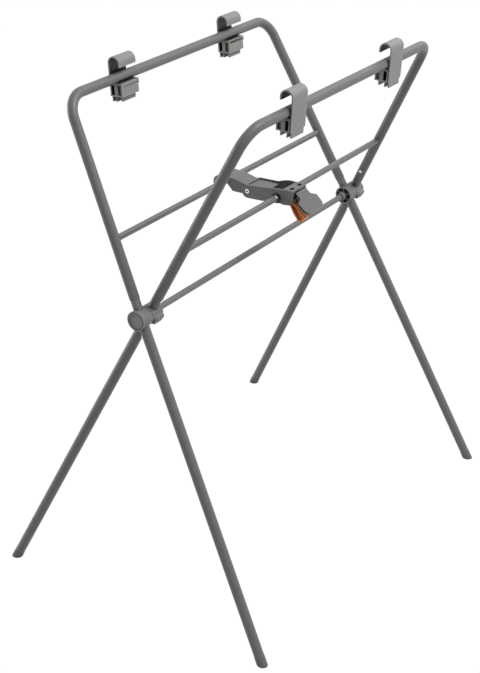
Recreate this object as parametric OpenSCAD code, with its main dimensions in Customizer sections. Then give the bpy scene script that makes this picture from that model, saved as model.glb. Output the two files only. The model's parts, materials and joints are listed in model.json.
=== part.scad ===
// Folding stand for a baby bath: two splayed tube frames that cross at a pair of hubs,
// held open by a two-link brace with a squeeze grip, with four hook clips for the tub's rim.
// Millimetres. The origin is on the floor, midway between the feet. X runs across the stand
// from frame A's top bar to frame B's, Y runs along the folding axis, and Z is up.

/* [Stand] */
// Height of the top bars' centrelines above the floor
bar_height = 874; // [840:1:900]
// Height of the folding axis above the floor
pivot_height = 544; // [520:1:560]
// Distance from the middle of the stand to each top bar
bar_spread = 166; // [155:1:180]
// Distance from the middle of the stand to each hub
hub_half = 336; // [320:1:360]
// Inward slope of the upper legs in the outer layer
splay_outer = 6.4; // [5.8:0.05:7.4]
// Inward slope of the upper legs in the inner layer
splay_inner = 6; // [5:0.05:6.4]
// Outward slope of frame A's lower legs
splay_a = 5.45; // [4.5:0.05:6.5]
// Outward slope of frame B's lower legs
splay_b = 6.35; // [5.5:0.05:7.5]

/* [Tubes] */
// Outside diameter of the leg tube
tube_d = 17.4; // [16:0.2:18]
// Wall of the leg tube
tube_wall = 1.2; // [1:0.1:1.8]
// Centreline radius of the bends at the top corners
bend_r = 40; // [32:1:60]
// Outside diameter of the crossbars and of the hub bar
bar_d = 11; // [10:0.5:12]
// Wall of the crossbars and of the hub bar
bar_wall = 1; // [0.8:0.1:1.2]
// Distance of each crossbar from the folding axis, up its frame
crossbar_up = 133; // [125:1:145]

/* [Hubs] */
// Gap between the two layers of leg tube
layer_gap = 5.2; // [4.6:0.1:8]
// Diameter of the hub barrels
hub_d = 32; // [30:0.5:36]
// Diameter of the rim round the hub's open face
rim_d = 34.4; // [33:0.2:40]
// Length of the rim along the folding axis
rim_len = 4; // [3:0.5:5]
// Distance from the parting plane to the open face of hub half A
hub_a_len = 26; // [24:0.5:29]
// Distance from the parting plane to the far face of hub half B
hub_b_len = 29; // [27:0.5:33]
// Length of frame A's neck between the hub barrel and the upper tube
neck_len = 17; // [12:0.5:22]
// How much thinner the neck is than the tube
neck_step = 1.6; // [1:0.1:2.4]
// Depth to which a tube end is let into the hub barrel
socket_depth = 6.5; // [5:0.1:7.5]
// Length of the hub spigots inside the tubes
spigot_len = 52; // [50:1:70]
// Diameter of the pivot bolts
bolt_d = 7.8; // [7:0.1:7.8]
// Diameter of the pivot bolts' heads
bolt_head_d = 13.6; // [12:0.1:14]
// Height of the pivot bolts' heads
bolt_head_h = 4; // [3:0.1:4.5]
// Thickness of the washers between the hub halves
washer_t = 1; // [0.6:0.1:1.5]
// Thickness of the caps over the bolt heads
cap_t = 1.6; // [1.2:0.1:2]
// Depth of the cavities between the ribs in the open face
rib_depth = 5.2; // [3:0.1:5.6]
// Thickness of those ribs
rib_t = 1.6; // [1.2:0.1:2.4]
// Length of the far hub's boss, which holds the hub bar's end
boss_len = 12; // [8:0.5:16]
// Wall of that boss
boss_wall = 2; // [1.6:0.1:2.4]

/* [Feet] */
// Diameter of the rubber feet
foot_d = 18; // [17.6:0.1:20]
// Length of a foot between the floor and its tube
foot_len = 16; // [13:0.5:20]
// Length of the plug inside the tube
plug_len = 18; // [12:1:30]

/* [Tub clips] */
// Distance between the middles of the two clips on a bar
clip_pitch = 320; // [280:1:350]
// Width of the hook band
hook_w = 44; // [38:1:50]
// Thickness of the hook band
hook_t = 2.8; // [2.2:0.1:3.4]
// Gap between the bar and the band beside it
hook_gap = 0.6; // [0.4:0.1:1.2]
// Height of the hook's curl centre above the bar's centre
hook_rise = 24.5; // [22:0.5:40]
// Tilt of the clips about their bar, with the underside inwards
clip_tilt = 4; // [0:0.5:8]
// Straight length of the lip below the curl
lip_len = 6; // [3:0.5:18]
// Width of the cradle block under the bar
cradle_w = 47; // [42:1:54]
// How far the cradle stands in past the hook's lip
cradle_in = 2.4; // [0:0.2:4]
// Depth of the cradle's underside below the bar's centre
cradle_drop = 31; // [27:0.5:36]
// Thickness of the plate under the cradle
tail_t = 2; // [1.6:0.1:3]
// Depth of the rails under that plate
rail_drop = 8; // [5:0.5:12]
// Width of the rails and of the tab beside them
tail_w = 36; // [30:1:38]
// Shank diameter of the clip screws
clip_screw_d = 3.5; // [3:0.1:4]

/* [Brace] */
// Middle of the brace along the crossbars, from midway between the hubs
brace_y = -12; // [-40:1:40]
// Width of the brace
brace_w = 44; // [40:1:48]
// Wall of the brace's plastic parts
brace_t = 2.6; // [2.2:0.1:3]
// Height of the channel's sides above the line of its pivots
side_up = 11.6; // [11.2:0.1:13]
// Depth of the channel's sides below that line
side_down = 12.6; // [11.5:0.1:13]
// Depth of the channel's sides at crossbar B
side_low = 8.6; // [8.4:0.1:10]
// Height of the lock housing above that line
housing_up = 19; // [18:0.5:22]
// Distance from crossbar B to the channel's end wall
end_run = 33; // [31:0.5:35]
// Depth of the channel's deck below the edges of its sides
deck_drop = 2; // [1:0.1:2]
// Diameter of the bushes on crossbar B
bush_d = 14; // [13:0.2:14.4]
// Diameter of the knee rivet
rivet_d = 5; // [4:0.1:6]
// Diameter of the knee rivet's heads
rivet_head_d = 8; // [7:0.1:9]
// Height of the arm's back above the line of its pivots
arm_up = 16.6; // [15:0.1:18]
// Depth of the arm's sides below that line
arm_down = 7.5; // [6:0.1:8]
// Radius of the arm's hooked nose
nose_r = 11.5; // [11:0.1:12.5]
// Reach of the arm's hook past crossbar A, towards the knee
hook_reach = 16.5; // [16:0.1:17]

/* [Grip] */
// Length of the grip
grip_len = 45; // [42:1:52]
// Width of the grip at its root
grip_root_w = 32; // [28:1:36]
// Width of the grip at its tip
grip_tip_w = 58; // [44:1:62]
// Slope of the grip below the line of the brace's pivots
grip_slope = 42; // [38:1:48]
// Radius of the grip's outer corners
grip_corner = 13; // [6:1:16]
// Thickness of the grip's upper shell
grip_t = 1.5; // [1.3:0.1:3]
// Thickness of the grip's lower shell
lower_t = 1.4; // [1.2:0.1:2.4]
// Depth of the shadow groove between the two shells
groove = 2.9; // [1.6:0.1:3.4]
// Width of the trigger at its pin
trigger_w = 30; // [28:1:32]
// Width of the trigger at its tip
trigger_tip_w = 16; // [12:1:24]
// Distance from the trigger's middle to the floors of its side pockets
trigger_t = 6; // [4:0.5:7]
// Diameter of the trigger's hinge pin
trigger_pin_d = 4; // [3:0.1:4.5]
// Height of that pin above the line of the brace's pivots
trigger_rise = 10; // [9:0.5:10.5]
// Width of the lock pawl
pawl_w = 10; // [8:0.5:11]
// Height of the lock pawl
pawl_h = 6; // [5:0.5:7]
// Diameter of the lock collar on crossbar B
collar_d = 17; // [16:0.5:17]
// Diameter of the flanges of the bushes beside it
flange_d = 17; // [16:0.2:17]

/* [Clearances] */
// Radial clearance of a shaft that turns in a bore, or of a plug in a tube
fit = 0.05; // [0.02:0.01:0.08]
// Gap between faces that slide past each other
slip = 0.3; // [0.2:0.05:0.5]

/* [Hidden] */
$fn = 48;
far_out = 2000;
bite = 1;
lap = 0.4;
swell = 0.1;

// Where the frames stand
lean = atan(bar_spread / (bar_height - pivot_height));
bar_up = (bar_height - pivot_height) / cos(lean);
layer = (tube_d + layer_gap) / 2;
bore_d = tube_d - 2 * tube_wall;
spigot_d = bore_d - 2 * fit;
neck_end = hub_d / 2 + neck_len;
socket_floor = hub_d / 2 - socket_depth;
NEAR = -1;
FAR = 1;

// Slope of a leg below the folding axis
function splay(frame) = frame == "a" ? splay_a : splay_b;
// Slope of a leg above it: at each hub one frame lies in the outer layer
function splay_up(frame, side) = (frame == "a") == (side == NEAR) ? splay_outer : splay_inner;
// Distance from the folding axis down a leg to the floor
foot_drop = pivot_height / cos(lean);
function foot_run(frame) = foot_drop / cos(splay(frame));
// Distance of a leg from the middle of its frame at a height above the folding axis
function leg_y(frame, side, up) = hub_half - up * tan(splay_up(frame, side));
// How far a bend's ends lie from the corner that it rounds
function bend_reach(slope) = bend_r * tan((90 - slope) / 2);
// Distance from the middle of a top bar to where its bend starts
function bar_end(frame, side) =
    leg_y(frame, side, bar_up) - bend_reach(splay_up(frame, side));
// Midway between the hubs, seen from midway between the feet
mid_y = foot_drop * (tan(splay_a) - tan(splay_b)) / 2;
// Rivets through tube and spigot: side, distance up the leg, turn round the leg
RIVETS_A = [[NEAR, 50, 180], [FAR, 50, 180], [NEAR, -38, 180], [FAR, -38, 180]];
RIVETS_B = [[NEAR, 32, 0], [FAR, 54, -90], [NEAR, -45, 0], [FAR, -45, 0]];
rivet_shank_d = 4;
rivet_cap_d = 6.4;
rivet_cap_h = 1.5;
rivet_in = 5;

// The brace: knee at x = 0, crossbars at either side of it, all on one line
brace_z = pivot_height + crossbar_up * cos(lean);
link = crossbar_up * sin(lean);

// Puts a frame's own plane in place: its Z runs up the legs, its Y along the folding axis
module on_frame(frame) {
    s = frame == "a" ? -1 : 1;
    translate([0, mid_y + s * layer, pivot_height]) rotate([0, s * lean, 0]) children();
}

// Runs Z up an upper leg from where it crosses the folding axis
module on_upper(frame, side) {
    on_frame(frame) translate([0, side * hub_half, 0])
        rotate([side * splay_up(frame, side), 0, 0]) children();
}

// Runs Z up a lower leg to where it crosses the folding axis
module on_lower(frame, side) {
    on_frame(frame) translate([0, side * hub_half, 0]) rotate([side * splay(frame), 0, 0])
        children();
}

module on_leg(frame, side, v) {
    if (v > 0) on_upper(frame, side) children();
    else on_lower(frame, side) children();
}

module pipe(d, wall, from, to) {
    translate([0, 0, from]) difference() {
        cylinder(d = d, h = to - from);
        translate([0, 0, -bite]) cylinder(d = d - 2 * wall, h = to - from + 2 * bite);
    }
}

module along_y(from, to, d) {
    translate([0, from, 0]) rotate([-90, 0, 0]) cylinder(d = d, h = to - from);
}

module slab(points, from, to) {
    translate([0, to, 0]) rotate([90, 0, 0]) linear_extrude(to - from) polygon(points);
}

// Tubes ---------------------------------------------------------------------

// The run of a frame's upper tube at one diameter: legs, two bends and top bar. The bends are
// a hair thicker than the straights, as a bent tube is, and the straights' ends lie in them.
module upper_run(frame, d, past) {
    leg_start = (frame == "a" ? neck_end : socket_floor) - past;
    on_frame(frame) translate([0, -bar_end(frame, NEAR) - lap, bar_up]) rotate([-90, 0, 0])
        cylinder(d = d, h = bar_end(frame, NEAR) + bar_end(frame, FAR) + 2 * lap);
    for (side = [NEAR, FAR]) {
        slope = splay_up(frame, side);
        on_frame(frame) rotate([0, 0, side == NEAR ? 180 : 0])
            translate([0, bar_end(frame, side), bar_up - bend_r])
                rotate([90, 0, 90]) rotate([0, 0, slope])
                    rotate_extrude(angle = 90 - slope) translate([bend_r, 0])
                        circle(d = d + swell);
        on_upper(frame, side) translate([0, 0, leg_start])
            cylinder(d = d, h = bar_up / cos(slope) - bend_reach(slope) + lap - leg_start);
    }
}

module upper_tube(frame) {
    difference() {
        upper_run(frame, tube_d, 0);
        upper_run(frame, bore_d, bite);
        rivet_holes(frame);
        for (side = [NEAR, FAR])
            at_clip(frame, side)
                translate([0, 0, -tube_d]) cylinder(d = clip_screw_d + 2 * fit, h = tube_d);
    }
}

module lower_tube(frame, side) {
    difference() {
        on_lower(frame, side)
            pipe(tube_d, tube_wall, foot_len - foot_run(frame), -socket_floor);
        rivet_holes(frame);
    }
}

// A crossbar's ends are coped to the legs that they are welded to
module crossbar(frame) {
    near = leg_y(frame, NEAR, crossbar_up);
    far = leg_y(frame, FAR, crossbar_up);
    difference() {
        on_frame(frame) translate([0, 0, crossbar_up]) rotate([90, 0, 0])
            pipe(bar_d, bar_wall, -far, near);
        for (side = [NEAR, FAR])
            on_upper(frame, side) cylinder(d = tube_d + 2 * fit, h = 2 * crossbar_up);
        if (frame == "b")
            at_bar_rivets() cylinder(d = rivet_shank_d + 2 * fit, h = bar_d);
    }
}

hub_bar_near = -hub_half + hub_b_len - socket_depth;
hub_bar_far = hub_half - hub_a_len + bolt_head_h + cap_t - fit;
module hub_bar() color("#77766f")
    translate([0, mid_y, pivot_height]) rotate([90, 0, 0])
        pipe(bar_d, bar_wall, -hub_bar_far, -hub_bar_near);

module upper_tube_a() color("#5b5a55") upper_tube("a");
module upper_tube_b() color("#5b5a55") upper_tube("b");
module lower_tube_a_near() color("#5b5a55") lower_tube("a", NEAR);
module lower_tube_a_far() color("#5b5a55") lower_tube("a", FAR);
module lower_tube_b_near() color("#5b5a55") lower_tube("b", NEAR);
module lower_tube_b_far() color("#5b5a55") lower_tube("b", FAR);
module crossbar_a() color("#77766f") crossbar("a");
module crossbar_b() color("#77766f") crossbar("b");

// Hubs ----------------------------------------------------------------------

// In a hub's own frame Y is the folding axis and 0 is the parting plane of the two halves
module at_hub(frame, side) {
    s = frame == "a" ? 1 : -1;
    on_frame(frame) translate([0, side * hub_half + s * layer, 0]) children();
}

module spigot(frame, side, from, to) {
    on_leg(frame, side, to) translate([0, 0, min(from, to)])
        cylinder(d = spigot_d, h = abs(to - from));
}

module socket(frame, side, dir) {
    on_leg(frame, side, dir) mirror([0, 0, dir < 0 ? 1 : 0])
        translate([0, 0, socket_floor - slip]) difference() {
            cylinder(d = tube_d + 2 * fit, h = hub_d);
            translate([0, 0, -bite]) cylinder(d = spigot_d, h = hub_d + 2 * bite);
        }
}

bolt_seat = bolt_head_h + cap_t;
bar_bore = bar_d + 2 * slip;
half_gap = washer_t / 2 + fit;

module hub_half_a(side) {
    color("#6f6f6b") difference() {
        union() {
            at_hub("a", side) {
                along_y(-hub_a_len, -half_gap, hub_d);
                along_y(-hub_a_len, -hub_a_len + rim_len, rim_d);
            }
            on_upper("a", side) translate([0, 0, socket_floor])
                cylinder(d = tube_d - neck_step, h = neck_end - socket_floor);
            spigot("a", side, neck_end - bite, neck_end + spigot_len - neck_len);
            spigot("a", side, -socket_floor, -spigot_len);
            if (side == FAR) at_hub("a", side)
                along_y(-hub_a_len - boss_len, -hub_a_len + bolt_seat, bar_bore + 2 * boss_wall);
        }
        socket("a", side, -1);
        at_hub("a", side) {
            if (side == NEAR) {
                along_y(-hub_a_len - bite, -hub_a_len + bolt_seat, bolt_head_d + 2 * slip);
                along_y(-hub_a_len - bite, -hub_a_len + cap_t, hub_d - 2 * rib_t);
            } else
                along_y(-hub_a_len - boss_len - bite, -hub_a_len + bolt_seat, bar_bore);
            along_y(-hub_a_len, bite, bolt_d + 2 * fit);
            difference() {
                along_y(-hub_a_len - bite, -hub_a_len + rib_depth, hub_d - 2 * rib_t);
                along_y(-hub_a_len - 2 * bite, 0, bolt_head_d + 2 * rib_t);
                for (turn = [0:60:300]) rotate([0, turn, 0])
                    translate([0, -hub_a_len - 2 * bite, -rib_t / 2]) cube([hub_d, hub_a_len, rib_t]);
            }
        }
        rivet_holes("a");
    }
}

module hub_half_b(side) {
    chamfer = 2;
    color("#6f6f6b") difference() {
        union() {
            at_hub("b", side) {
                along_y(half_gap, hub_b_len - chamfer, hub_d);
                translate([0, hub_b_len - chamfer, 0]) rotate([-90, 0, 0])
                    cylinder(d1 = hub_d, d2 = hub_d - 2 * chamfer, h = chamfer);
            }
            spigot("b", side, socket_floor, spigot_len + tube_d);
            spigot("b", side, -socket_floor, -spigot_len);
        }
        socket("b", side, 1);
        socket("b", side, -1);
        at_hub("b", side) {
            along_y(0, hub_b_len, bolt_d + 2 * fit);
            if (side == NEAR)
                along_y(hub_b_len - socket_depth - slip, hub_b_len + bite, bar_bore);
            else {
                along_y(hub_b_len - bolt_seat, hub_b_len + bite, bolt_head_d + 2 * slip);
                along_y(hub_b_len - cap_t, hub_b_len + bite, bolt_head_d + 4 * rib_t);
            }
        }
        rivet_holes("b");
    }
}

module hub_half_a_near() hub_half_a(NEAR);
module hub_half_a_far() hub_half_a(FAR);
module hub_half_b_near() hub_half_b(NEAR);
module hub_half_b_far() hub_half_b(FAR);

module hub_washers() color("#2b2b2b")
    for (side = [NEAR, FAR]) at_hub("a", side) difference() {
        along_y(-washer_t / 2, washer_t / 2, hub_d - 2 * rib_t);
        along_y(-washer_t, washer_t, bolt_d + 2 * fit);
    }

bolt_reach = 16;
module pivot_bolts() color("#b9b9b9") {
    at_hub("a", NEAR) {
        along_y(-hub_a_len + cap_t + fit, -hub_a_len + bolt_seat - fit, bolt_head_d);
        along_y(-hub_a_len + cap_t + bolt_head_h / 2, hub_b_len + bolt_reach, bolt_d);
    }
    at_hub("a", FAR) {
        along_y(hub_b_len - bolt_seat + fit, hub_b_len - cap_t - fit, bolt_head_d);
        along_y(-hub_a_len - bolt_reach, hub_b_len - cap_t - bolt_head_h / 2, bolt_d);
    }
}

module hub_cap_near() color("#62625f") at_hub("a", NEAR)
    along_y(-hub_a_len, -hub_a_len + cap_t - fit, hub_d - 2 * rib_t - 2 * fit);

module hub_cap_far() color("#62625f") at_hub("b", FAR)
    along_y(hub_b_len - cap_t + fit, hub_b_len, bolt_head_d + 4 * rib_t - 2 * fit);

// Rivets --------------------------------------------------------------------

module at_rivets(frame) {
    for (r = frame == "a" ? RIVETS_A : RIVETS_B)
        on_leg(frame, r[0], r[1]) translate([0, 0, r[1]]) rotate([0, 0, r[2]])
            rotate([0, 90, 0]) children();
}

module rivet_holes(frame) {
    at_rivets(frame) translate([0, 0, tube_d / 2 - rivet_in - fit])
        cylinder(d = rivet_shank_d + 2 * fit, h = rivet_in + bite);
}

// The head is dished under, so that it sits on the round of the tube
module tube_rivets(frame) {
    difference() {
        at_rivets(frame) {
            translate([0, 0, tube_d / 2 - rivet_in]) cylinder(d = rivet_shank_d, h = rivet_in);
            translate([0, 0, tube_d / 2 - rivet_cap_h / 2])
                cylinder(d1 = rivet_cap_d, d2 = rivet_cap_d * 0.7, h = rivet_cap_h);
        }
        for (r = frame == "a" ? RIVETS_A : RIVETS_B) difference() {
            on_leg(frame, r[0], r[1]) translate([0, 0, r[1] - rivet_cap_d])
                cylinder(d = tube_d + 2 * fit, h = 2 * rivet_cap_d);
            at_rivets(frame) cylinder(d = rivet_shank_d, h = tube_d);
        }
    }
}

module tube_rivets_a() color("#8f8f8c") tube_rivets("a");
module tube_rivets_b() color("#c9c9c6") tube_rivets("b");

// Feet ----------------------------------------------------------------------

module foot(frame, side) color("#4a4946") difference() {
    on_lower(frame, side) translate([0, 0, -foot_run(frame)]) {
        translate([0, 0, -foot_d]) cylinder(d = foot_d, h = foot_d + foot_len - fit);
        cylinder(d = spigot_d, h = foot_len + plug_len);
    }
    translate([-far_out / 2, -far_out / 2, -far_out]) cube(far_out);
}

module foot_a_near() foot("a", NEAR);
module foot_a_far() foot("a", FAR);
module foot_b_near() foot("b", NEAR);
module foot_b_far() foot("b", FAR);

// Tub clips -----------------------------------------------------------------

// In a clip's own frame the bar's centre is at 0 and X points outwards from the stand
module at_clip(frame, side) {
    translate([0, mid_y + side * clip_pitch / 2, bar_height])
        mirror([frame == "a" ? 1 : 0, 0, 0]) translate([bar_spread, 0, 0])
            rotate([0, clip_tilt, 0]) children();
}

curl_in = tube_d / 2 + hook_gap;
curl_out = curl_in + hook_t;
under = -cradle_drop - fit;
screw_head_h = 2.4;
screw_head_d = 2 * clip_screw_d - 1;

module clip_hook(frame, side) {
    half = hook_w / 2;
    tail = under - tail_t;
    color("#8b8b88") at_clip(frame, side) difference() {
        union() {
            translate([curl_in, -half, under]) cube([hook_t, hook_w, hook_rise - under]);
            translate([-curl_out, -half, hook_rise - lip_len]) cube([hook_t, hook_w, lip_len]);
            translate([0, 0, hook_rise]) difference() {
                along_y(-half, half, 2 * curl_out);
                along_y(-half - bite, half + bite, 2 * curl_in);
                translate([-far_out / 2, -far_out / 2, -far_out]) cube(far_out);
            }
            translate([-curl_in, -tail_w / 2, tail])
                cube([curl_in + curl_out, tail_w, tail_t]);
            for (x = [-curl_in, curl_in / 4, curl_in])
                translate([x, -tail_w / 2, tail - rail_drop + (x > 0 ? 0 : 1)])
                    cube([hook_t, tail_w, rail_drop]);
        }
        translate([0, 0, tail - bite]) cylinder(d = clip_screw_d + 2 * fit, h = tail_t + 2 * bite);
        translate([0, 0, tail - far_out]) cylinder(d = screw_head_d + 2 * slip, h = far_out);
    }
}

ledge = 1.6;
ledge_h = 6.5;
module clip_cradle(frame, side) {
    half = cradle_w / 2;
    web = 5;
    shallow = 3;
    inner = curl_out + cradle_in;
    top = -tube_d * 0.46;
    color("#7e7e7b") at_clip(frame, side) difference() {
        translate([-inner, -half, -cradle_drop])
            cube([inner + curl_in - fit, cradle_w, cradle_drop + top]);
        along_y(-half - bite, half + bite, tube_d + 2 * slip);
        // groove under the ledge, and the lower step of the face below it
        translate([-inner - bite, -half + web / 2, top - ledge_h])
            cube([bite + ledge, cradle_w - web, ledge]);
        for (y = [-half + web, half - web - ledge])
            translate([-inner - bite, y, top - ledge_h / 2]) cube([bite + ledge, ledge, ledge]);
        translate([-inner - bite, half - web / 2, -cradle_drop - bite])
            cube([bite + ledge, web, cradle_drop / 2]);
        for (end = [NEAR, FAR]) mirror([0, end == NEAR ? 1 : 0, 0])
            for (h = [[-inner + hook_t, half - shallow], [slip + hook_t / 2, web]])
                translate([h[0], h[1], -cradle_drop + hook_t])
                    cube([curl_in - hook_t, half, cradle_drop - tube_d / 2 - 2 * hook_t]);
        translate([0, 0, -far_out / 2]) cylinder(d = clip_screw_d + 2 * fit, h = far_out);
    }
}

module clip_screws(frame) color("#9a9a98")
    for (side = [NEAR, FAR]) at_clip(frame, side) {
        foot = under - tail_t;
        translate([0, 0, foot - screw_head_h]) cylinder(d = screw_head_d, h = screw_head_h);
        translate([0, 0, foot - bite]) cylinder(d = clip_screw_d, h = -foot - bore_d / 2 + 4);
    }

module clip_hook_a_near() clip_hook("a", NEAR);
module clip_hook_a_far() clip_hook("a", FAR);
module clip_hook_b_near() clip_hook("b", NEAR);
module clip_hook_b_far() clip_hook("b", FAR);
module clip_cradle_a_near() clip_cradle("a", NEAR);
module clip_cradle_a_far() clip_cradle("a", FAR);
module clip_cradle_b_near() clip_cradle("b", NEAR);
module clip_cradle_b_far() clip_cradle("b", FAR);
module clip_screws_a() clip_screws("a");
module clip_screws_b() clip_screws("b");

// Brace ---------------------------------------------------------------------

// In the brace's own frame the knee is at 0, crossbar A at -link and crossbar B at +link
module at_brace() translate([0, mid_y + brace_y, brace_z]) children();

half_w = brace_w / 2;
tongue_half = half_w - brace_t - slip;
arm_back = side_up - slip;
tongue_r = arm_down;
hook_in = bar_d / 2 + 1;
hook_mouth = 3.2;

// The arm's side outline, from the nose over the back to the knee and along the underside
ARM = concat(
    [[-link - nose_r, -hook_in - 2]],
    [for (a = [180:-15:90]) [-link + nose_r * cos(a), arm_up - nose_r + nose_r * sin(a)]],
    [[-link / 2, arm_up], [-9, arm_back], [-1, arm_back], [-1, tongue_r]],
    [for (a = [75:-15:-90]) tongue_r * [cos(a), sin(a)]],
    [[-link + hook_reach + arm_down + hook_mouth, -arm_down], [-link + hook_reach, hook_mouth],
     [-link + hook_reach, hook_in], [-link, hook_in]],
    [for (a = [105:15:180]) hook_in * [cos(a), sin(a)] - [link, 0]],
    [[-link - hook_in, -hook_in - 2]]);
// What is hollow between the arm's sides
ARM_HOLLOW = [[-link + hook_reach - bite, arm_up - brace_t], [-link / 2, arm_up - brace_t],
    [-10, arm_back - brace_t], [far_out, arm_back - brace_t],
    [far_out, -far_out], [-link + hook_reach - bite, -far_out]];

module brace_arm() color("#6a6a67") at_brace() difference() {
    union() {
        intersection() {
            slab(ARM, -half_w, half_w);
            translate([-far_out - link + hook_reach, -far_out / 2, -far_out / 2]) cube(far_out);
        }
        intersection() {
            slab(ARM, -tongue_half, tongue_half);
            translate([-link + hook_reach - bite, -far_out / 2, -far_out / 2]) cube(far_out);
        }
    }
    slab(ARM_HOLLOW, -tongue_half + brace_t, tongue_half - brace_t);
    along_y(-half_w, half_w, rivet_d + 2 * fit);
}

rivet_head_h = 1.4;
module knee_rivet() color("#d8d8d6") at_brace() {
    along_y(-half_w - bite, half_w + bite, rivet_d);
    along_y(-half_w - rivet_head_h, -half_w - fit, rivet_head_d);
    along_y(half_w + fit, half_w + rivet_head_h, rivet_head_d);
}

hump_start = link - 23;
hump_end = link + 4;
end_x = link + end_run;
// A side's outline: a lobe at the knee, rising to the lock housing at crossbar B. The far side
// rises in a hump, the near side evenly
function side_outline(side) = concat(
    [for (a = [90:15:165]) side_up * [cos(a), sin(a)]],
    [for (a = [180:15:270]) [side_up * cos(a), side_down * sin(a)]],
    [[link / 2, -side_down + 1], [link - 4, -side_low], [link + 8, -side_low],
     [link + 14, -side_low - 1.2], [end_x - 5, -side_low + 0.4],
     [end_x - 1, 0], [end_x, 8], [end_x, housing_up - 5], [end_x - 1.2, housing_up - 1.8],
     [end_x - 10, housing_up - 0.6]],
    side == NEAR ? [] : [for (a = [90:-15:0])
        [hump_start + (hump_end - hump_start) * a / 90,
         hump_foot + (housing_up - hump_foot) * sin(a)]]);
hump_foot = side_up + deck_drop / 2;
deck_top = side_up - deck_drop;
deck_under = tongue_r + 2 * slip;
deck_start = -0.7;
deck_end = link - 19;
plate_start = link + 12;
pin_inset = 9;
guide_gap = 7;
plate_top = housing_up - 0.8;
trigger_x = end_x - pin_inset;
guide = pawl_w / 2 + slip;
guide_from = link + collar_d / 2 + 3;
bush_lip = 0.6;
flange_t = 1.8;
guide_floor = -pawl_h / 2 - slip - brace_t;
collar_half = half_w - brace_t - flange_t - 1.4;
// Openings in the housing's plate: distance from the brace's middle, width
SLOTS = [[-15.5, 10], [9, 10]];
slot_len = 6.5;
slot_from = end_x - 12;
slot_lip = 1.2;
// Windows in the end wall beside the grip's neck: distance from the middle, width
WINDOWS = [[-19.3, 3.6], [-14.5, 3.2], [11.5, 7.5]];

module brace_channel() color("#7b7b78") at_brace() difference() {
    union() {
        slab(side_outline(NEAR), -half_w, -half_w + brace_t);
        slab(side_outline(FAR), half_w - brace_t, half_w);
        // deck over the channel
        translate([deck_start, -half_w + bite, deck_under])
            cube([deck_end - deck_start, brace_w - 2 * bite, deck_top - deck_under]);
        // top plate and end wall of the lock housing
        translate([plate_start, -half_w + bite, plate_top - brace_t])
            cube([end_x - plate_start - 1, brace_w - 2 * bite, brace_t]);
        translate([end_x - brace_t - 0.4, -half_w + bite, -1])
            cube([brace_t, brace_w - 2 * bite, plate_top]);
        for (s = [-1, 1]) {
            // guides of the pawl, hung from the plate
            translate([guide_from, s * (guide + brace_t / 2) - brace_t / 2, guide_floor])
                cube([trigger_x - guide_gap - guide_from, brace_t, plate_top - 1 - guide_floor]);
        }
        translate([guide_from, -guide - bite, guide_floor])
            cube([trigger_x - guide_gap - guide_from, 2 * (guide + bite), brace_t]);
        translate([trigger_x, 0, trigger_rise])
            along_y(trigger_w / 2 + slip, half_w - bite, trigger_pin_d + 4);
    }
    along_y(-half_w - bite, half_w + bite, rivet_d + 2 * fit);
    translate([link, 0, 0]) along_y(-half_w - bite, half_w + bite, bush_d + 2 * fit);
    translate([trigger_x, 0, trigger_rise])
        along_y(-half_w + 1, half_w - 1, trigger_pin_d + 2 * fit);
    for (slot = SLOTS) {
        translate([slot_from, slot[0], 1]) cube([slot_len, slot[1], housing_up]);
        // the plate is thinned from below round each opening
        translate([slot_from - 2, slot[0] - 2, plate_top - brace_t - bite])
            cube([slot_len + 4, slot[1] + 4, brace_t - slot_lip + bite]);
    }
    for (window = WINDOWS) translate([end_x - brace_t - bite, window[0], 2])
        cube([far_out, window[1], plate_top - brace_t - 4]);
}

// A flanged bush in each side, turning on the crossbar
module crossbar_bushes() color("#1f1f1f") at_brace() translate([link, 0, 0]) difference() {
    for (s = [-1, 1]) {
        middle = s * (half_w - (brace_t + flange_t) / 2);
        reach = (brace_t + flange_t) / 2 + bush_lip;
        along_y(middle - reach, middle + reach, bush_d);
        flange = s * (half_w - brace_t - bush_lip / 2 - flange_t / 2);
        along_y(flange - flange_t / 2, flange + flange_t / 2, flange_d);
    }
    along_y(-brace_w, brace_w, bar_d + 2 * fit);
}

// Rivets through crossbar B, one each side of the brace, keep it from sliding along the bar
module at_bar_rivets() at_brace() translate([link, 0, 0])
    for (s = [-1, 1]) translate([0, s * (half_w + 0.9 + rivet_cap_d / 2), 0])
        rotate([0, 35, 0]) children();

module bar_rivets() color("#c9c9c6") difference() {
    at_bar_rivets() {
        translate([0, 0, bar_d / 2 - 2]) cylinder(d = rivet_shank_d, h = 2);
        translate([0, 0, bar_d / 2 - 0.8])
            cylinder(d1 = rivet_cap_d, d2 = rivet_cap_d * 0.7, h = rivet_cap_h + 0.3);
    }
    difference() {
        at_brace() translate([link, 0, 0]) along_y(-brace_w, brace_w, bar_d + 2 * fit);
        at_bar_rivets() cylinder(d = rivet_shank_d, h = bar_d);
    }
}

module lock_collar() color("#3a3a39") at_brace() translate([link, 0, 0]) difference() {
    along_y(-collar_half, collar_half, collar_d);
    along_y(-collar_half - bite, collar_half + bite, bar_d + 2 * fit);
    translate([bar_d / 2 + 1.5, -collar_half - bite, -pawl_h / 2 - slip])
        cube([collar_d, 2 * (collar_half + bite), pawl_h + 2 * slip]);
}

// The pawl slides between its guides. The trigger's finger stands in its window
finger = 4;
finger_tilt = 0.6;
window = finger + 2 * slip + finger_tilt;
pawl_web = 1.8;
pawl_from = link + collar_d / 2 + slip;
pawl_to = trigger_x + window / 2 + pawl_web;
module lock_pawl() color("#c7c7c4") at_brace() difference() {
    translate([pawl_from, -pawl_w / 2, -pawl_h / 2]) cube([pawl_to - pawl_from, pawl_w, pawl_h]);
    translate([trigger_x - window / 2, -window / 2, -pawl_h]) cube([window, window, 2 * pawl_h]);
}

// Grip and trigger ----------------------------------------------------------

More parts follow.
